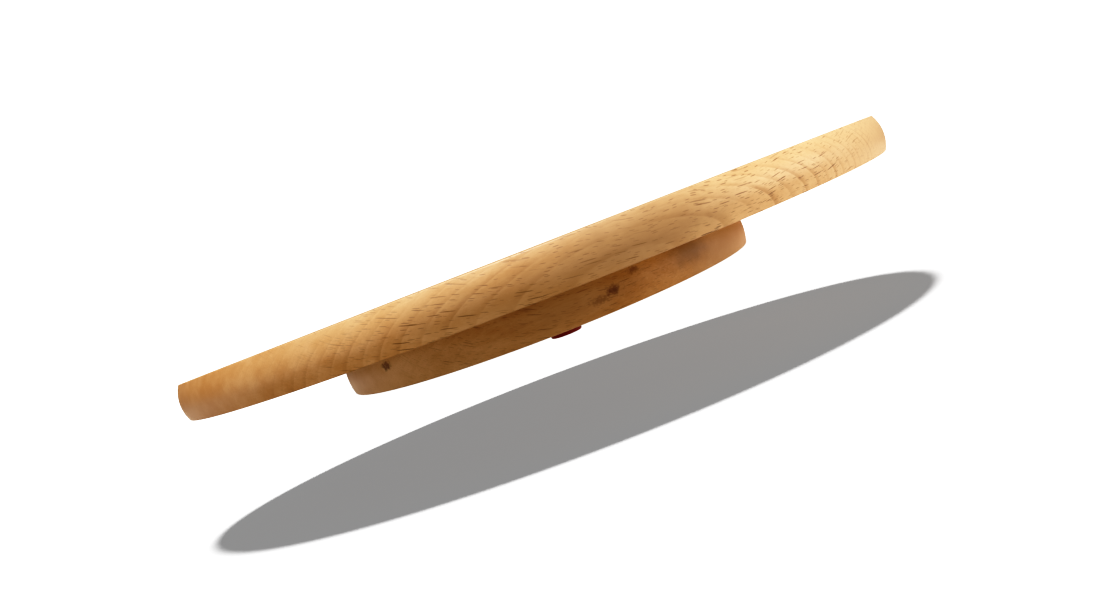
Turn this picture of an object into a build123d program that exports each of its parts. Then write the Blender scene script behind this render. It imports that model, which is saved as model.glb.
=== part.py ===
from build123d import *

import math
import os

# Lazy susan turntable: a round beech plate that turns on a ring bearing let into a smaller
# round base. Millimetres, +Z up. The origin is on the turning axis, level with the feet's
# undersides. The -Y side is the front.

os.makedirs("parts", exist_ok=True)

# Plate and base: boards of one stock size, edge-glued and turned round
plate_diameter = 400
base_diameter = 240
board_thickness = 18
board_width = 80
plate_board_count = 5
base_board_count = 3
plate_rest_angle = 9
bearing_gap = 4

# Plate rim: a convex bow, widest a little under half its height, with eased arrises
rim_bow_radius = 20
rim_widest_height = 8
rim_arris_radius = 0.6

# Base rim: bowed outwards, widest at mid height, with lightly rounded edges
base_bow_radius = 30
base_edge_radius = 1.0

# Feet: moulded rubber pads, each on an adhesive disc
foot_count = 4
foot_circle_radius = 100
foot_diameter = 15.5
foot_height = 3
foot_draft = 6
foot_edge_radius = 0.8
adhesive_diameter = 14
adhesive_thickness = 0.3

# Ring bearing: two aluminium rings with balls in a round race between them
bearing_outer_radius = 75
bearing_inner_radius = 48
bearing_height = 8.5
ring_standoff = 0.5
ring_chamfer = 0.6
ball_radius = 2.38
ball_circle_radius = 61.5
ball_count = 24
race_clearance = 0.05
ring_spacing = 1.4
recess_clearance = 0.5

# Ball cage: a nylon band in the space between the rings
cage_thickness = 0.7
cage_height = 6.5
pocket_clearance = 0.06

# Ball loading plug, in the outer ring's side
plug_angle = 225
plug_clearance = 0.02
plug_end_gap = 0.3
plug_sink = 0.1

# Countersunk 3.5 x 16 wood screws and their holes
screw_length = 16
screw_radius = 1.75
screw_head_radius = 3.5
screw_head_sink = 0.1
screw_point_length = 3
screw_hole_radius = 2.0
pilot_clearance = 0.02
pilot_spare_depth = 1
cross_length = 3.8
cross_width = 0.9
cross_depth = 1.4
screw_count = 4
outer_screw_circle_radius = 69
inner_screw_circle_radius = 54.5
outer_screw_angle = 0
inner_screw_angle = 30

# Screwdriver access hole through the base, under the inner ring's screws
access_hole_radius = 6.5

# Heights that follow from these
base_bottom = foot_height
base_top = base_bottom + board_thickness
plate_bottom = base_top + bearing_gap
plate_top = plate_bottom + board_thickness
recess_floor = plate_bottom - bearing_height
outer_ring_top = plate_bottom - ring_standoff
inner_ring_bottom = recess_floor + ring_standoff
ball_plane = (recess_floor + plate_bottom) / 2
race_radius = ball_radius + race_clearance
ring_height = bearing_height - ring_standoff


def bow_inset(bow_radius, height):
    """How far a bowed rim has fallen back at this height above or below its widest line."""
    return bow_radius - math.sqrt(bow_radius**2 - height**2)


def save(piece, name):
    """Label a finished piece and write it to its own file."""
    piece.label = name
    export_step(piece, f"parts/{name}.step")


def save_boards(blank, name, count, angle):
    """Part a turned disc along its glue lines and save each board, numbered from the front."""
    for number in range(count):
        offset = (number - (count - 1) / 2) * board_width
        strip = Location((0, 0, 0), (0, 0, angle)) * Location((0, offset, 0))
        with BuildPart() as board:
            add(blank)
            with Locations(strip):
                Box(2 * plate_diameter, board_width, 2 * plate_top, mode=Mode.INTERSECT)
        save(board.part, f"{name}_{number + 1}")


# Plate, before it is parted into boards
plate_radius = plate_diameter / 2
plate_corner_low = plate_radius - bow_inset(rim_bow_radius, rim_widest_height)
plate_corner_high = plate_radius - bow_inset(rim_bow_radius, board_thickness - rim_widest_height)
pilot_depth = screw_length - ring_height + pilot_spare_depth
pilot_radius = screw_radius + pilot_clearance

with BuildPart() as plate:
    with BuildSketch(Plane.XZ):
        with BuildLine():
            rim = ThreePointArc(
                (plate_corner_low, plate_bottom),
                (plate_radius, plate_bottom + rim_widest_height),
                (plate_corner_high, plate_top),
            )
            Polyline(rim @ 1, (0, plate_top), (0, plate_bottom), rim @ 0)
        make_face()
    revolve(axis=Axis.Z)
    fillet(plate.edges().filter_by(GeomType.CIRCLE), rim_arris_radius)
    with BuildSketch(Plane.XY.offset(plate_bottom)):
        with PolarLocations(inner_screw_circle_radius, screw_count, inner_screw_angle):
            Circle(pilot_radius)
    extrude(amount=pilot_depth, mode=Mode.SUBTRACT)

save_boards(plate.part, "top_board", plate_board_count, plate_rest_angle)

# Base, before it is parted into boards
base_radius = base_diameter / 2
base_corner = base_radius - bow_inset(base_bow_radius, board_thickness / 2)
recess_radius = bearing_outer_radius + recess_clearance

with BuildPart() as base:
    with BuildSketch(Plane.XZ):
        with BuildLine():
            side = ThreePointArc(
                (base_corner, base_bottom),
                (base_radius, (base_bottom + base_top) / 2),
                (base_corner, base_top),
            )
            Polyline(side @ 1, (0, base_top), (0, base_bottom), side @ 0)
        make_face()
    revolve(axis=Axis.Z)
    fillet(base.edges().filter_by(GeomType.CIRCLE), base_edge_radius)
    with BuildSketch(Plane.XY.offset(base_top)):
        Circle(recess_radius)
    extrude(amount=recess_floor - base_top, mode=Mode.SUBTRACT)
    with BuildSketch(Plane.XY.offset(recess_floor)):
        with PolarLocations(outer_screw_circle_radius, screw_count, outer_screw_angle):
            Circle(pilot_radius)
    extrude(amount=-pilot_depth, mode=Mode.SUBTRACT)
    with BuildSketch(Plane.XY.offset(recess_floor)):
        with PolarLocations(inner_screw_circle_radius, 1, inner_screw_angle):
            Circle(access_hole_radius)
    extrude(amount=base_bottom - recess_floor, mode=Mode.SUBTRACT)

save_boards(base.part, "base_board", base_board_count, 0)

# Feet, numbered from the front, anticlockwise seen from above
adhesive_bottom = foot_height - adhesive_thickness

for number, place in enumerate(PolarLocations(foot_circle_radius, foot_count, -90)):
    with BuildPart(Plane(place)) as foot_pad:
        with BuildSketch(Plane(place).offset(adhesive_bottom)):
            Circle(foot_diameter / 2)
        extrude(amount=-adhesive_bottom, taper=foot_draft)
        fillet(foot_pad.edges().sort_by(Axis.Z)[0], foot_edge_radius)
    save(foot_pad.part, f"foot_pad_{number + 1}")

    with BuildPart(Plane(place)) as foot_adhesive:
        with BuildSketch(Plane(place).offset(adhesive_bottom)):
            Circle(adhesive_diameter / 2)
        extrude(amount=adhesive_thickness)
    save(foot_adhesive.part, f"foot_adhesive_{number + 1}")

# Outer ring, screwed down into the base's recess
outer_ring_bore = ball_circle_radius + ring_spacing / 2
countersink_radius = screw_head_radius + screw_head_sink

with BuildPart() as outer_ring:
    with BuildSketch(Plane.XZ) as outer_section:
        with BuildLine():
            Polyline(
                (outer_ring_bore, recess_floor),
                (bearing_outer_radius, recess_floor),
                (bearing_outer_radius, outer_ring_top),
                (outer_ring_bore, outer_ring_top),
                close=True,
            )
        make_face()
        chamfer(outer_section.vertices().group_by(Axis.X)[-1], ring_chamfer)
        with Locations((ball_circle_radius, ball_plane)):
            Circle(race_radius, mode=Mode.SUBTRACT)
    revolve(axis=Axis.Z)
    with Locations(Plane.XY.offset(outer_ring_top)):
        with PolarLocations(outer_screw_circle_radius, screw_count, outer_screw_angle):
            CounterSinkHole(screw_hole_radius, countersink_radius, ring_height, 90)
    plug_direction = Vector(1, 0, 0).rotate(Axis.Z, plug_angle)
    plug_plane = Plane(Vector(0, 0, ball_plane) + plug_direction * ball_circle_radius, z_dir=plug_direction)
    with BuildSketch(plug_plane):
        Circle(race_radius)
    extrude(amount=bearing_outer_radius, mode=Mode.SUBTRACT)

save(outer_ring.part, "bearing_outer_ring")

# Loading plug: fills the side hole, set back from the race and from the ring's outside
plug_start = race_radius + plug_end_gap
plug_end = bearing_outer_radius - plug_sink - ball_circle_radius

with BuildPart() as loading_plug:
    with BuildSketch(plug_plane.offset(plug_start)):
        Circle(race_radius - plug_clearance)
    extrude(amount=plug_end - plug_start)

save(loading_plug.part, "ball_loading_plug")

# Inner ring, screwed up into the plate
inner_ring_outside = ball_circle_radius - ring_spacing / 2

with BuildPart() as inner_ring:
    with BuildSketch(Plane.XZ) as inner_section:
        with BuildLine():
            Polyline(
                (bearing_inner_radius, inner_ring_bottom),
                (inner_ring_outside, inner_ring_bottom),
                (inner_ring_outside, plate_bottom),
                (bearing_inner_radius, plate_bottom),
                close=True,
            )
        make_face()
        chamfer(inner_section.vertices().group_by(Axis.X)[0], ring_chamfer)
        with Locations((ball_circle_radius, ball_plane)):
            Circle(race_radius, mode=Mode.SUBTRACT)
    revolve(axis=Axis.Z)
    with Locations(Plane(origin=(0, 0, inner_ring_bottom), z_dir=(0, 0, -1))):
        with PolarLocations(inner_screw_circle_radius, screw_count, -inner_screw_angle):
            CounterSinkHole(screw_hole_radius, countersink_radius, ring_height, 90)

save(inner_ring.part, "bearing_inner_ring")

# Balls
with BuildPart() as balls:
    with Locations((0, 0, ball_plane)):
        with PolarLocations(ball_circle_radius, ball_count):
            Sphere(ball_radius)

save(balls.part, "bearing_balls")

# Cage: a band with one round pocket for each ball
with BuildPart() as cage:
    with BuildSketch(Plane.XY.offset(ball_plane)):
        Circle(ball_circle_radius + cage_thickness / 2)
        Circle(ball_circle_radius - cage_thickness / 2, mode=Mode.SUBTRACT)
    extrude(amount=cage_height / 2, both=True)
    with Locations((0, 0, ball_plane)):
        with PolarLocations(ball_circle_radius, ball_count):
            Cylinder(
                ball_radius + pocket_clearance,
                3 * cage_thickness,
                rotation=(0, 90, 0),
                mode=Mode.SUBTRACT,
            )

save(cage.part, "ball_cage")

# One screw, head up, with its head's top at the origin
head_height = screw_head_radius - screw_radius

with BuildPart() as screw:
    with BuildSketch(Plane.XZ):
        with BuildLine():
            Polyline(
                (0, 0),
                (screw_head_radius, 0),
                (screw_radius, -head_height),
                (screw_radius, screw_point_length - screw_length),
                (0, -screw_length),
                close=True,
            )
        make_face()
    revolve(axis=Axis.Z)
    with BuildSketch(Plane.XY):
        Rectangle(cross_length, cross_width)
        Rectangle(cross_width, cross_length)
    extrude(amount=-cross_depth, mode=Mode.SUBTRACT)

# Each ring's set of screws
with BuildPart() as outer_screws:
    with Locations(Plane.XY.offset(outer_ring_top - screw_head_sink)):
        with PolarLocations(outer_screw_circle_radius, screw_count, outer_screw_angle):
            add(screw.part)

save(outer_screws.part, "outer_ring_screws")

with BuildPart() as inner_screws:
    with Locations(Plane(origin=(0, 0, inner_ring_bottom + screw_head_sink), z_dir=(0, 0, -1))):
        with PolarLocations(inner_screw_circle_radius, screw_count, -inner_screw_angle):
            add(screw.part)

save(inner_screws.part, "inner_ring_screws")
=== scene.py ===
"""Lazy susan turntable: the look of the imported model. Metres, in the model's own frame."""
import math
from collections import namedtuple

import bpy
from mathutils import Matrix, Vector


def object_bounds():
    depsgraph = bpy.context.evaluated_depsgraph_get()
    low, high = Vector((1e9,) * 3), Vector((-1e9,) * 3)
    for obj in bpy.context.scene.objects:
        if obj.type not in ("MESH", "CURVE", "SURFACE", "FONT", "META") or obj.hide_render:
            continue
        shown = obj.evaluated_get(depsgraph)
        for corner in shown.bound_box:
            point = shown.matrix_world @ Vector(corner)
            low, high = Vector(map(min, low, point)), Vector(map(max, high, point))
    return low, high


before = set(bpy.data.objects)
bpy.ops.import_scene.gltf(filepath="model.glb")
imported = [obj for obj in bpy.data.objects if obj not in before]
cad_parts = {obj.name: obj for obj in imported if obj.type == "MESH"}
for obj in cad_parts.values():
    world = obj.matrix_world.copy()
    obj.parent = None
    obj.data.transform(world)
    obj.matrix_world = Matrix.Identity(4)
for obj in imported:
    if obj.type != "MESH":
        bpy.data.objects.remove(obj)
cad_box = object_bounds()

MM = 0.001

# The wooden pieces and pads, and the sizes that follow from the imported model
PLATE_BOARDS = [f"top_board_{n}" for n in range(1, 6)]
BASE_BOARDS = [f"base_board_{n}" for n in range(1, 4)]
FOOT_PADS = [f"foot_pad_{n}" for n in range(1, 5)]
FOOT_ADHESIVES = [f"foot_adhesive_{n}" for n in range(1, 5)]
PLATE_TOP = cad_box[1].z
PLATE_DIAMETER = cad_box[1].x - cad_box[0].x
PLATE_GRAIN_ANGLE = math.radians(9)
BASE_GRAIN_ANGLE = 0.0

# The view: level with the plate's top, close to its rim, and rolled
VIEW_AZIMUTH = math.radians(-2.3)
VIEW_TURN = math.radians(0.2)
VIEW_TILT = math.radians(-3.95)
VIEW_ROLL = math.radians(21.24)
EYE_DISTANCE = 1.198 * PLATE_DIAMETER
EYE_RISE = 0.7 * MM
SENSOR_WIDTH = 36
LENS = 26.98

# The floor: below the feet and inclined
FLOOR_DROP = 0.0445
FLOOR_TILT = math.radians(4.66)
FLOOR_LEAN = math.radians(0.96)
FLOOR_SIZE = 60

# The floor's own colour and glow, as the camera sees them and as the wood does. The glow on the wood
# is dim along a band across the floor and brighter to both sides of it.
SEEN_FLOOR = (0.08, 0.08, 0.08, 1)
SEEN_GLOW = (1.11, 1.12, 1.13, 1)
FLOOR_ON_WOOD = (0.022, 0.019, 0.016, 1)
DIM_GLOW = (1.04, 0.90, 0.76, 1)
BRIGHT_GLOW = (3.5, 3.2, 2.8, 1)
DIM_BAND_X = -0.15
DIM_WITHIN = 0.05
BRIGHT_BEYOND = 0.38
GLOW_STRENGTH = 0.38

# The world: a warm fill on the object, and white to the camera
FILL_COLOUR = (1.0, 0.93, 0.85, 1)
FILL_STRENGTH = 0.30
BACKDROP_STRENGTH = 2.0

# The light from above is a little cool and the light from the left warm
KEY_COLOUR = (0.94, 1.0, 1.10)
LEFT_COLOUR = (1.0, 0.88, 0.62)

# The tone curve: scene light against screen light, both linear
TONE_WHITE = 1.4
TONE_CURVE = [
    (0.08, 0.012), (0.18, 0.062), (0.30, 0.145), (0.45, 0.28),
    (0.60, 0.43), (0.80, 0.63), (1.00, 0.80), (1.20, 0.92),
]

# The figure of beech: the sizes of its features, in millimetres. Three sizes are along the fibres,
# across them and upwards.
WANDER_SIZE = (80, 40, 40)
STREAK_SIZE = (60, 6, 6)
FIBRE_SIZE = (7, 0.5, 0.5)
CLOUD_SIZE = 35
PORE_SIZE = 0.8
RING_FADE_SIZE = 14
RAY_PATCH_SIZE = 16
RAY_BEND_SIZE = 22
RAY_BEND = 3.0
TOP_FADE_DEPTH = 10
BOARD_STRETCH = 1000.0

# The most that each part of the figure covers of the ground colour
COVER = {
    "late lines": 0.55, "early bands": 0.11, "pale fibres": 0.36, "dark fibres": 0.55,
    "pores": 0.25, "end grain": 0.30, "short rays": 0.55, "long rays": 0.9,
}

# How much the ground colour changes with streaks and clouds, and the lacquer and relief over it
TONE_CHANGE = 0.7
LACQUER_ROUGHNESS = 0.46
ROUGHNESS_CHANGE = 0.08
BEECH_RELIEF = 0.03 * MM

# How fast the ring width changes outwards, per millimetre
RING_CHANGE_RATE = 0.11

# Manufactured surfaces: the size of their clouds and the height of their texture
PLAIN_CLOUD_SIZE = 12 * MM
PLAIN_RELIEF = 0.01 * MM

# One kind of ray: the spacing along and round the log, in millimetres, its least and greatest size as a
# share of that, where its pattern starts and the share of places that have one
Rays = namedtuple("Rays", "length thickness least greatest offset kept")
LONG_RAYS = Rays(22.0, 1.1, 0.08, 0.19, 3.7, 0.8)
SHORT_RAYS = Rays(6.5, 0.7, 0.12, 0.24, 8.1, 0.85)

# One board of beech: its middle across the disc, where the log's centre lay across the disc and above
# the feet, how much that rises along the board, its ring width, how strong and how wavy the rings are,
# its tone and how that changes along the board, how flecked it is, and a number that sets its figure
# apart from the others'. Millimetres. The change of tone along the board is partly the wood's own and
# partly painted light: the plate's boards grow lighter to the right, where more light falls, and the
# base's front board grows darker to the right, as painted shade.
Board = namedtuple("Board", [
    "middle", "centre_across", "centre_height", "centre_rise", "ring_width", "ring_depth", "wander",
    "tone", "drift", "flecked", "seed",
])
PLATE_WOOD = [
    Board(-160, 0, 121, -0.095, 2.97, 1.15, 1.6, 0.16, 0.0026, 1.0, 1.3),
    Board(-80, -70, 170, 0.02, 3.2, 0.8, 8.0, 0.16, 0.0026, 1.0, 2.9),
    Board(0, 35, -95, -0.025, 3.6, 1.0, 8.0, -0.04, 0.0018, 0.9, 4.2),
    Board(80, 150, 150, 0.015, 3.9, 0.8, 8.0, 0.06, 0.0012, 1.0, 5.6),
    Board(160, 60, -80, -0.01, 3.5, 1.0, 8.0, -0.02, 0.0008, 1.0, 6.8),
]
BASE_WOOD = [
    Board(-80, 60, 110, -0.2, 3.8, 0.35, 6.0, -0.10, -0.0046, 0.5, 11.3),
    Board(0, 10, 120, 0.02, 3.6, 0.8, 8.0, 0.00, 0.0, 0.5, 12.7),
    Board(80, 160, -60, -0.02, 3.4, 0.8, 8.0, -0.15, 0.0, 0.5, 13.9),
]

# A patch in the front board: its middle and half-sizes in millimetres, how strong it is, how ragged its
# rim is and its colour. On the plate every patch is painted light; on the base some are marks in the wood
# and some are painted shade.
MarkOrPaintedLight = namedtuple("MarkOrPaintedLight", "middle size depth ragged colour")
PLATE_PAINTED_SHADE_AND_SHEEN = [
    # Painted shade over the middle of the rim's front
    MarkOrPaintedLight((-6.0, -198.0, 29.5), (96.0, 30.0, 18.0), 0.48, 0.6, "painted_shade"),
    # Painted shade over the upper rim, right of the middle
    MarkOrPaintedLight((33.0, -194.0, 35.0), (50.0, 30.0, 15.0), 0.62, 0.5, "painted_shade"),
    # Painted sheen: a pale band along the top of the rim, left of the middle
    MarkOrPaintedLight((-76.0, -182.0, 43.0), (78.0, 50.0, 11.0), 0.32, 0.5, "early"),
]
BASE_MARKS_AND_PAINTED_SHADE = [
    # Knots and smudges in the wood
    MarkOrPaintedLight((-85.7, -84.0, 15.5), (4.8, 4.0, 2.6), 0.80, 1.9, "mark"),
    MarkOrPaintedLight((25.5, -117.3, 12.5), (4.8, 5.0, 3.0), 0.80, 1.9, "mark"),
    MarkOrPaintedLight((18.0, -118.5, 10.5), (7.0, 5.0, 2.2), 0.45, 1.9, "mark"),
    MarkOrPaintedLight((37.0, -114.2, 17.5), (4.0, 4.0, 2.2), 0.55, 1.9, "mark"),
    # Painted shade over the right of the base's front
    MarkOrPaintedLight((82.0, -86.0, 12.0), (48.0, 44.0, 20.0), 0.55, 0.3, "painted_shade"),
    # A stain in the wood
    MarkOrPaintedLight((67.0, -99.5, 16.0), (21.0, 18.0, 10.0), 0.48, 0.9, "mark"),
    # Painted shade over the middle of the base's front, under the plate
    MarkOrPaintedLight((12.0, -120.0, 16.0), (56.0, 26.0, 18.0), 0.30, 0.3, "mark"),
]


def linear(red, green, blue):
    """A colour given as 0 to 255 screen values, as linear light."""
    parts = []
    for value in (red, green, blue):
        share = value / 255
        parts.append(share / 12.92 if share <= 0.04045 else ((share + 0.055) / 1.055) ** 2.4)
    return (*parts, 1.0)


# Beech, from the palest early wood to the darkest ray, and the greyer brown of painted shade. The
# darkest mark colour serves both the knots and one patch of painted shade.
PALETTE = {
    "light": linear(224, 190, 147),
    "dark": linear(185, 137, 80),
    "painted_shade": linear(158, 126, 88),
    "early": linear(234, 205, 164),
    "late": linear(160, 116, 68),
    "end": linear(178, 128, 76),
    "ray": linear(98, 60, 14),
    "mark": linear(98, 58, 10),
}


class Shader:
    """A new material and short calls that add nodes to it."""

    def __init__(self, name):
        self.material = bpy.data.materials.new(name)
        self.material.use_nodes = True
        self.nodes = self.material.node_tree.nodes
        self.links = self.material.node_tree.links
        self.surface = self.nodes["Principled BSDF"]

    def put(self, socket, value):
        """Join an output to a socket, or set the socket to a plain value."""
        if isinstance(value, bpy.types.NodeSocket):
            self.links.new(value, socket)
        else:
            socket.default_value = value

    def node(self, kind, inputs=None, **settings):
        """A new node with these settings, and with these values or outputs in its sockets."""
        made = self.nodes.new(kind)
        for name, value in settings.items():
            setattr(made, name, value)
        for name, value in (inputs or {}).items():
            self.put(made.inputs[name], value)
        return made

    def math(self, operation, a, b=0.0, c=0.0):
        made = self.nodes.new("ShaderNodeMath")
        made.operation = operation
        for socket, value in zip(made.inputs, (a, b, c)):
            self.put(socket, value)
        return made.outputs[0]

    def times(self, first, *others):
        """The product of two or more values."""
        for value in others:
            first = self.math("MULTIPLY", first, value)
        return first

    def vector(self, x, y, z=0.0):
        return self.node("ShaderNodeCombineXYZ", {"X": x, "Y": y, "Z": z}).outputs[0]

    def parts(self, vector):
        """The X, Y and Z of a vector."""
        return tuple(self.node("ShaderNodeSeparateXYZ", {0: vector}).outputs)

    def vector_math(self, operation, a, b):
        return self.node("ShaderNodeVectorMath", {0: a, 1: b}, operation=operation).outputs[0]

    def scaled(self, vector, factor):
        return self.node("ShaderNodeVectorMath", {0: vector, 3: factor}, operation="SCALE").outputs[0]

    def turned(self, vector, angle):
        """A vector turned about the upright axis."""
        inputs = {"Vector": vector, "Angle": angle}
        return self.node("ShaderNodeVectorRotate", inputs, rotation_type="Z_AXIS").outputs[0]

    def stretched(self, place, sizes):
        """A place whose three parts are counted in these sizes."""
        return self.vector(*[self.times(part, 1 / size) for part, size in zip(place, sizes)])

    def noise(self, vector, scale=1.0, detail=2.0, roughness=0.5):
        """Noise about 0, from roughly -0.5 to 0.5."""
        inputs = {"Vector": vector, "Scale": scale, "Detail": detail, "Roughness": roughness}
        made = self.node("ShaderNodeTexNoise", inputs)
        return self.math("SUBTRACT", made.outputs["Fac"], 0.5)

    def ramp(self, value, low, high, to_low=0.0, to_high=1.0):
        """Smooth step of a value between two limits."""
        inputs = {"Value": value, "From Min": low, "From Max": high, "To Min": to_low, "To Max": to_high}
        made = self.node("ShaderNodeMapRange", inputs, interpolation_type="SMOOTHSTEP")
        return made.outputs["Result"]

    def spot(self, in_mm, mark):
        """A patch's depth in its middle, falling to 0 at its ragged rim. A patch is a mark in the wood,
        painted shade or a painted sheen.
        """
        away = self.vector_math("SUBTRACT", in_mm, mark.middle)
        away = self.vector_math("MULTIPLY", away, tuple(1 / size for size in mark.size))
        distance = self.node("ShaderNodeVectorMath", {0: away}, operation="LENGTH").outputs["Value"]
        ragged = self.noise(in_mm, scale=1 / (0.6 * min(mark.size)), detail=3.0, roughness=0.6)
        distance = self.math("ADD", distance, self.times(ragged, mark.ragged))
        return self.times(self.ramp(distance, 1.1, 0.1), mark.depth)

    def mix(self, share, a, b):
        made = self.node("ShaderNodeMix", data_type="RGBA")
        self.put(made.inputs["Factor"], share)
        self.put(made.inputs["A"], a)
        self.put(made.inputs["B"], b)
        return made.outputs["Result"]

    def bump(self, height, distance, strength=1.0):
        inputs = {"Height": height, "Distance": distance, "Strength": strength}
        self.put(self.surface.inputs["Normal"], self.node("ShaderNodeBump", inputs).outputs[0])

    def finish(self, **values):
        """Set the shader's own sockets, with underscores for spaces in their names."""
        for name, value in values.items():
            self.put(self.surface.inputs[name.replace("_", " ")], value)
        return self.material


# A surface point in its board, in millimetres. in_mm is its place in the model and x is along the fibres
# from the turning axis. place is along the fibres, across them and upwards, and every board has its own
# stretch of it. radius and arc are measured out from the log's centre and round it. ends_on is 0 where
# the surface lies along the fibres and 1 where it cuts across them. showing is how plain the figure is:
# it fades towards the plate's top.
Grain = namedtuple("Grain", "in_mm x place radius arc ends_on showing")


def find_grain(s, board, grain_angle):
    """Where each point of a board lay in the log that it was cut from."""
    coordinates = s.node("ShaderNodeTexCoord")
    in_mm = s.scaled(coordinates.outputs["Object"], 1 / MM)
    x, across, height = s.parts(s.turned(in_mm, -grain_angle))
    along = s.math("ADD", x, BOARD_STRETCH * board.seed)
    place = (along, across, height)
    ends_on = s.math("ABSOLUTE", s.parts(s.turned(coordinates.outputs["Normal"], -grain_angle))[0])

    wander = s.times(s.noise(s.stretched(place, WANDER_SIZE), detail=2.0), board.wander)
    rise = s.times(x, board.centre_rise)
    out = s.math("SUBTRACT", across, board.centre_across)
    up = s.math("SUBTRACT", s.math("SUBTRACT", height, board.centre_height), rise)
    radius = s.math("SQRT", s.math("ADD", s.times(out, out), s.times(up, up)))
    radius = s.math("ADD", radius, wander)
    reach = math.hypot(board.middle - board.centre_across, board.centre_height)
    arc = s.times(s.math("ARCTAN2", up, out), reach)
    top = PLATE_TOP / MM
    showing = s.ramp(height, top, top - TOP_FADE_DEPTH, 0.35, 1.0)
    return Grain(in_mm, x, place, radius, arc, ends_on, showing)


def growth_rings(s, grain, board):
    """How much late and early wood there is: rings of uneven width, each ending in a thin darker line.

    A ring's line deepens over its outer half and stops sharply, and some rings are fainter than others.
    """
    uneven = s.noise(s.vector(s.times(grain.radius, RING_CHANGE_RATE), board.seed * 7.0), detail=0.0)
    rings = s.math("ADD", s.times(grain.radius, 1 / board.ring_width), s.times(uneven, board.wander / 8))
    within = s.math("FRACT", rings)
    number = s.math("FLOOR", rings)
    chance = s.node("ShaderNodeTexWhiteNoise", {"W": number}, noise_dimensions="1D").outputs["Value"]
    clouds = s.noise(grain.in_mm, scale=1 / RING_FADE_SIZE, detail=3.0, roughness=0.6)
    fading = s.ramp(clouds, -0.2, 0.2, 0.25, 1.0)
    line = s.times(s.ramp(within, 0.55, 0.92), s.ramp(within, 1.0, 0.94))
    uneven_lines = s.math("MULTIPLY_ADD", chance, 0.6, 0.4)
    late = s.times(line, uneven_lines, fading, grain.showing)
    early = s.times(s.ramp(within, 0.25, 0.04), fading)
    return late, early


def ray_flecks(s, grain, bend, rays):
    """Short dark spindles along the grain, which run outward from the log's centre."""
    lengthwise = s.math("MULTIPLY_ADD", grain.place[0], 1 / rays.length, rays.offset)
    round_log = s.math("MULTIPLY_ADD", grain.arc, 1 / rays.thickness, s.math("DIVIDE", bend, rays.thickness))
    cells = {"Vector": s.vector(lengthwise, round_log), "Scale": 1.0, "Exponent": 2.0}
    found = s.node("ShaderNodeTexVoronoi", cells, voronoi_dimensions="2D", distance="MINKOWSKI")
    tint = s.node("ShaderNodeSeparateColor", {0: found.outputs["Color"]})
    size = s.math("MULTIPLY_ADD", tint.outputs[0], rays.greatest - rays.least, rays.least)
    share = s.math("DIVIDE", found.outputs["Distance"], size)
    chosen = s.ramp(tint.outputs[1], 1.0 - rays.kept, 1.0 - rays.kept / 2)
    return s.times(s.ramp(share, 1.0, 0.7), chosen)


def beech(name, board, grain_angle, marks_and_painted_light=()):
    """Clear-lacquered beech, cut from a round log: rings, rays and fibres are worked out in space."""
    s = Shader(name)
    grain = find_grain(s, board, grain_angle)
    late, early = growth_rings(s, grain, board)
    lines = s.ramp(grain.ends_on, 0.80, 0.45, 0.05, 1.0)

    # Fibres, soft streaks along the grain, clouds and pores
    fibre = s.noise(s.stretched(grain.place, FIBRE_SIZE), detail=3.0, roughness=0.6)
    streak = s.noise(s.stretched(grain.place, STREAK_SIZE), detail=2.0)
    cloud = s.noise(grain.in_mm, scale=1 / CLOUD_SIZE, detail=2.0)
    pores = s.noise(grain.in_mm, scale=1 / PORE_SIZE, detail=2.0, roughness=0.7)

    # Rays show on side grain, the long ones in patches
    side_grain = s.ramp(grain.ends_on, 0.73, 0.40)
    patchy = s.ramp(s.noise(grain.in_mm, scale=1 / RAY_PATCH_SIZE, detail=1.0), -0.30, 0.05, 0.3, 1.0)
    bend = s.times(s.noise(grain.in_mm, scale=1 / RAY_BEND_SIZE, detail=0.0), RAY_BEND)
    flecks = s.times(ray_flecks(s, grain, bend, LONG_RAYS), patchy, grain.showing, side_grain)
    dashes = s.times(ray_flecks(s, grain, bend, SHORT_RAYS), side_grain)

    # The ground colour, and the layers over it as a share and a colour each
    tone = s.math("ADD", s.times(streak, TONE_CHANGE), s.times(cloud, TONE_CHANGE))
    # Partly painted light: the tone drifts along each board, lighter to the right on the plate and darker to
    # the right on the base's front board
    tone = s.math("ADD", tone, s.math("MULTIPLY_ADD", grain.x, board.drift, board.tone))
    wood = s.mix(s.ramp(tone, -0.6, 0.6), PALETTE["dark"], PALETTE["light"])
    layers = [
        (s.times(late, lines, COVER["late lines"] * board.ring_depth), "late"),
        (s.times(early, lines, COVER["early bands"] * board.ring_depth), "early"),
        (s.ramp(fibre, 0.0, 0.45, 0.0, COVER["pale fibres"]), "early"),
        (s.ramp(fibre, 0.0, -0.45, 0.0, COVER["dark fibres"]), "late"),
        (s.ramp(pores, 0.05, 0.4, 0.0, COVER["pores"]), "late"),
        (s.ramp(grain.ends_on, 0.6, 1.0, 0.0, COVER["end grain"]), "end"),
        (s.times(dashes, COVER["short rays"] * board.flecked), "ray"),
        (s.times(flecks, COVER["long rays"] * board.flecked), "ray"),
    ]
    # Marks in the wood, and patches of painted shade and painted sheen
    layers += [(s.spot(grain.in_mm, mark), mark.colour) for mark in marks_and_painted_light]
    for share, colour in layers:
        wood = s.mix(share, wood, PALETTE[colour])

    relief = s.math("SUBTRACT", s.times(fibre, 0.5), s.math("ADD", flecks, dashes))
    s.bump(relief, BEECH_RELIEF, strength=0.6)
    rough = s.math("MULTIPLY_ADD", fibre, ROUGHNESS_CHANGE, LACQUER_ROUGHNESS)
    return s.finish(Base_Color=wood, Roughness=rough, Coat_Weight=0.12, Coat_Roughness=0.30, IOR=1.45)


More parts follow.
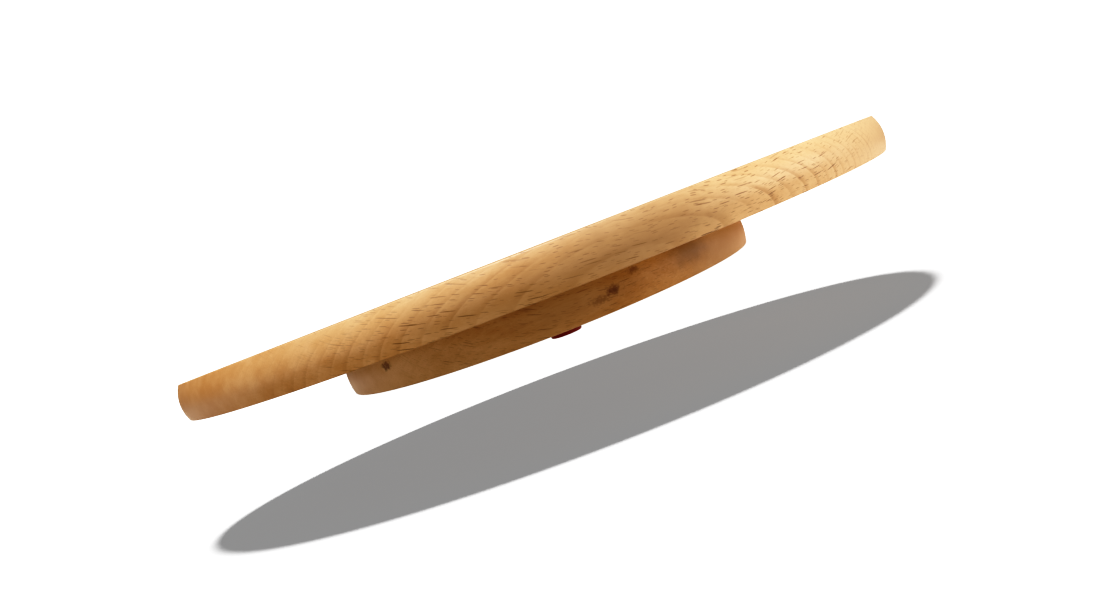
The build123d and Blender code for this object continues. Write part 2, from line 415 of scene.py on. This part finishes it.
def plain(name, colour, roughness, metallic=0.0, grain=0.4 * MM, spread=0.12):
    """A manufactured surface with slight unevenness of tone and relief."""
    s = Shader(name)
    place = s.node("ShaderNodeTexCoord").outputs["Object"]
    texture = s.noise(place, scale=1 / grain, detail=4.0, roughness=0.6)
    cloud = s.noise(place, scale=1 / PLAIN_CLOUD_SIZE, detail=2.0)
    dark = tuple(part * (1 - spread) for part in colour[:3]) + (1.0,)
    light = tuple(min(1.0, part * (1 + spread)) for part in colour[:3]) + (1.0,)
    tone = s.ramp(s.math("ADD", texture, cloud), -0.5, 0.5)
    s.bump(texture, PLAIN_RELIEF)
    rough = s.math("MULTIPLY_ADD", cloud, 0.15, roughness)
    return s.finish(Base_Color=s.mix(tone, dark, light), Roughness=rough, Metallic=metallic)


def dress(names, material):
    """Give CAD nodes this material in place of their own."""
    for name in names:
        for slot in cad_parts[name].material_slots:
            slot.material = material


def dress_boards(names, woods, grain_angle, front_marks_and_painted_light):
    """Beech on every board of a disc. The marks in the wood and the patches of painted shade and sheen are
    all on the front board, which is the first.
    """
    for name, wood in zip(names, woods):
        marks_and_painted_light = front_marks_and_painted_light if name == names[0] else []
        dress([name], beech(name, wood, grain_angle, marks_and_painted_light))


def make_camera():
    """The camera looks at the front of the rim, rolled so that the right end stands high."""
    heading = VIEW_AZIMUTH - VIEW_TURN
    eye = Vector((math.sin(VIEW_AZIMUTH), -math.cos(VIEW_AZIMUTH), 0)) * EYE_DISTANCE
    eye.z = PLATE_TOP + EYE_RISE
    forward = Vector((-math.sin(heading), math.cos(heading), math.tan(VIEW_TILT))).normalized()
    level_right = forward.cross(Vector((0, 0, 1))).normalized()
    level_up = level_right.cross(forward)
    right = level_right * math.cos(VIEW_ROLL) - level_up * math.sin(VIEW_ROLL)
    up = level_right * math.sin(VIEW_ROLL) + level_up * math.cos(VIEW_ROLL)
    camera = bpy.data.objects.new("camera", bpy.data.cameras.new("camera"))
    bpy.context.scene.collection.objects.link(camera)
    camera.data.sensor_width = SENSOR_WIDTH
    camera.data.lens = LENS
    camera.data.clip_start = 0.01
    camera.data.clip_end = 100
    turn = Matrix((right, up, -forward)).transposed().to_4x4()
    camera.matrix_world = Matrix.Translation(eye) @ turn
    bpy.context.scene.camera = camera


def floor_material():
    """White with an even grey shadow to the camera, a warm glow to the wood, and clear from below."""
    s = Shader("floor")
    to_camera = s.node("ShaderNodeLightPath").outputs["Is Camera Ray"]
    x = s.parts(s.node("ShaderNodeTexCoord").outputs["Object"])[0]
    aside = s.math("ABSOLUTE", s.math("SUBTRACT", x, DIM_BAND_X))
    glow = s.mix(s.ramp(aside, DIM_WITHIN, BRIGHT_BEYOND), DIM_GLOW, BRIGHT_GLOW)
    s.put(s.surface.inputs["Base Color"], s.mix(to_camera, FLOOR_ON_WOOD, SEEN_FLOOR))
    s.put(s.surface.inputs["Emission Color"], s.mix(to_camera, glow, SEEN_GLOW))
    below = s.node("ShaderNodeNewGeometry").outputs["Backfacing"]
    clear = s.node("ShaderNodeBsdfTransparent").outputs[0]
    either = s.node("ShaderNodeMixShader", {0: below, 1: s.surface.outputs[0], 2: clear})
    s.put(s.nodes["Material Output"].inputs["Surface"], either.outputs[0])
    return s.finish(Emission_Strength=GLOW_STRENGTH, Roughness=1.0, Specular_IOR_Level=0.0)


def make_floor():
    """An inclined floor below the feet, so that the turntable hangs over its shadow."""
    half = FLOOR_SIZE / 2
    corners = [(-half, -half, 0), (half, -half, 0), (half, half, 0), (-half, half, 0)]
    mesh = bpy.data.meshes.new("floor")
    mesh.from_pydata(corners, [], [(0, 1, 2, 3)])
    mesh.materials.append(floor_material())
    floor = bpy.data.objects.new("floor", mesh)
    floor.location = (0, 0, cad_box[0].z - FLOOR_DROP)
    floor.rotation_euler = (-FLOOR_TILT, FLOOR_LEAN, 0)
    bpy.context.scene.collection.objects.link(floor)
    return floor


def make_sun(name, floor, strength, azimuth, elevation, softness, colour=(1, 1, 1), floor_only=False):
    """A soft light that is the same all over the scene. Azimuth 0 shines from the front, 90 from the right.

    It lights either the floor alone or everything but the floor."""
    light = bpy.data.lights.new(name, "SUN")
    light.energy = strength
    light.angle = math.radians(softness)
    light.color = colour
    sun = bpy.data.objects.new(name, light)
    a, e = math.radians(azimuth), math.radians(elevation)
    towards = Vector((math.sin(a) * math.cos(e), -math.cos(a) * math.cos(e), math.sin(e)))
    sun.rotation_mode = "QUATERNION"
    sun.rotation_quaternion = towards.to_track_quat("Z", "Y")
    bpy.context.scene.collection.objects.link(sun)
    linked = bpy.data.collections.new(f"{name} floor link")
    linked.objects.link(floor)
    linked.collection_objects[0].light_linking.link_state = "INCLUDE" if floor_only else "EXCLUDE"
    sun.light_linking.receiver_collection = linked


def make_world():
    """White to the camera, and an even warm fill on the object."""
    world = bpy.data.worlds.new("studio")
    world.use_nodes = True
    tree = world.node_tree
    fill = tree.nodes["Background"]
    fill.inputs["Color"].default_value = FILL_COLOUR
    fill.inputs["Strength"].default_value = FILL_STRENGTH
    backdrop = tree.nodes.new("ShaderNodeBackground")
    backdrop.inputs["Color"].default_value = (1, 1, 1, 1)
    backdrop.inputs["Strength"].default_value = BACKDROP_STRENGTH
    path = tree.nodes.new("ShaderNodeLightPath")
    mix = tree.nodes.new("ShaderNodeMixShader")
    tree.links.new(path.outputs["Is Camera Ray"], mix.inputs[0])
    tree.links.new(fill.outputs[0], mix.inputs[1])
    tree.links.new(backdrop.outputs[0], mix.inputs[2])
    tree.links.new(mix.outputs[0], tree.nodes["World Output"].inputs["Surface"])
    bpy.context.scene.world = world


def set_tones():
    """The camera's contrast: deep shadows and soft highlights."""
    view = bpy.context.scene.view_settings
    view.view_transform = "Standard"
    view.use_curve_mapping = True
    curves = view.curve_mapping
    curves.white_level = (TONE_WHITE,) * 3
    all_colours = curves.curves[3]
    for light, screen in TONE_CURVE:
        all_colours.points.new(light / TONE_WHITE, screen)
    curves.update()


make_camera()
make_world()
floor = make_floor()
make_sun("key", floor, strength=4.3, azimuth=-10, elevation=82, softness=5, colour=KEY_COLOUR)
make_sun("front", floor, strength=1.3, azimuth=10, elevation=52, softness=60)
make_sun("right", floor, strength=3.0, azimuth=74, elevation=-7, softness=50)
make_sun("left", floor, strength=0.85, azimuth=-80, elevation=2, softness=50, colour=LEFT_COLOUR)
make_sun("shadow", floor, strength=42.0, azimuth=158.7, elevation=77.7, softness=6, floor_only=True)
set_tones()

dress_boards(PLATE_BOARDS, PLATE_WOOD, PLATE_GRAIN_ANGLE, PLATE_PAINTED_SHADE_AND_SHEEN)
dress_boards(BASE_BOARDS, BASE_WOOD, BASE_GRAIN_ANGLE, BASE_MARKS_AND_PAINTED_SHADE)
dress(FOOT_PADS, plain("foot_rubber", linear(140, 44, 38), 0.55, grain=0.5 * MM))
dress(FOOT_ADHESIVES, plain("adhesive_foam", linear(225, 222, 214), 0.7))
dress(["bearing_outer_ring", "bearing_inner_ring", "ball_loading_plug"],
      plain("bearing_aluminium", linear(205, 205, 208), 0.34, metallic=1.0, spread=0.04))
dress(["bearing_balls"], plain("ball_steel", linear(200, 202, 206), 0.12, metallic=1.0, spread=0.02))
dress(["ball_cage"], plain("cage_nylon", linear(232, 228, 214), 0.5))
dress(["outer_ring_screws", "inner_ring_screws"],
      plain("screw_steel", linear(190, 190, 186), 0.3, metallic=1.0, spread=0.08))
